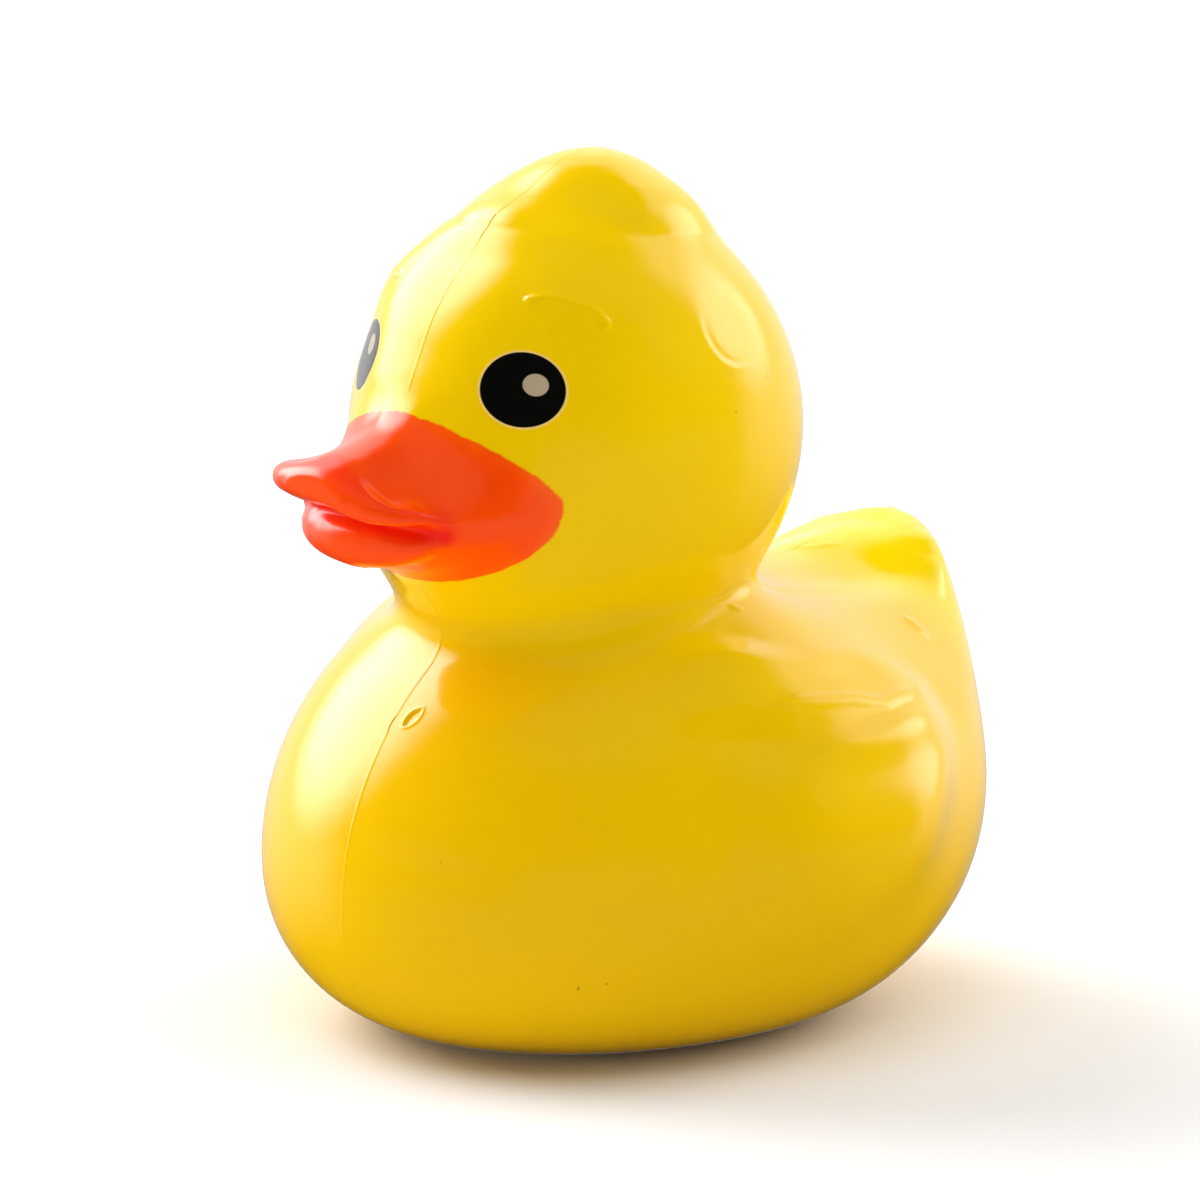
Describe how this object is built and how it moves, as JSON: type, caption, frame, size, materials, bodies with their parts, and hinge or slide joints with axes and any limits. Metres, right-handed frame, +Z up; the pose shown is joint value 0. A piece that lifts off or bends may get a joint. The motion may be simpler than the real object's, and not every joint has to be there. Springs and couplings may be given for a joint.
{
  "type": "squeeze toy duck",
  "caption": "Soft moulded bath duck with a round body, big head, pointed tuft, upturned tail, low wings and an orange beak, standing on a flat foot.",
  "frame": {"origin": "middle of the bounding box, at the foot", "axes": "the duck faces -Y, its left side is +X, and +Z is up"},
  "size_m": [0.0672, 0.075, 0.079],
  "materials": {
    "vinyl": "glossy soft yellow vinyl, with the beak sprayed orange and the eyes printed black"
  },
  "bodies": {
    "root": {"duck": "vinyl"}
  },
  "joints": []
}
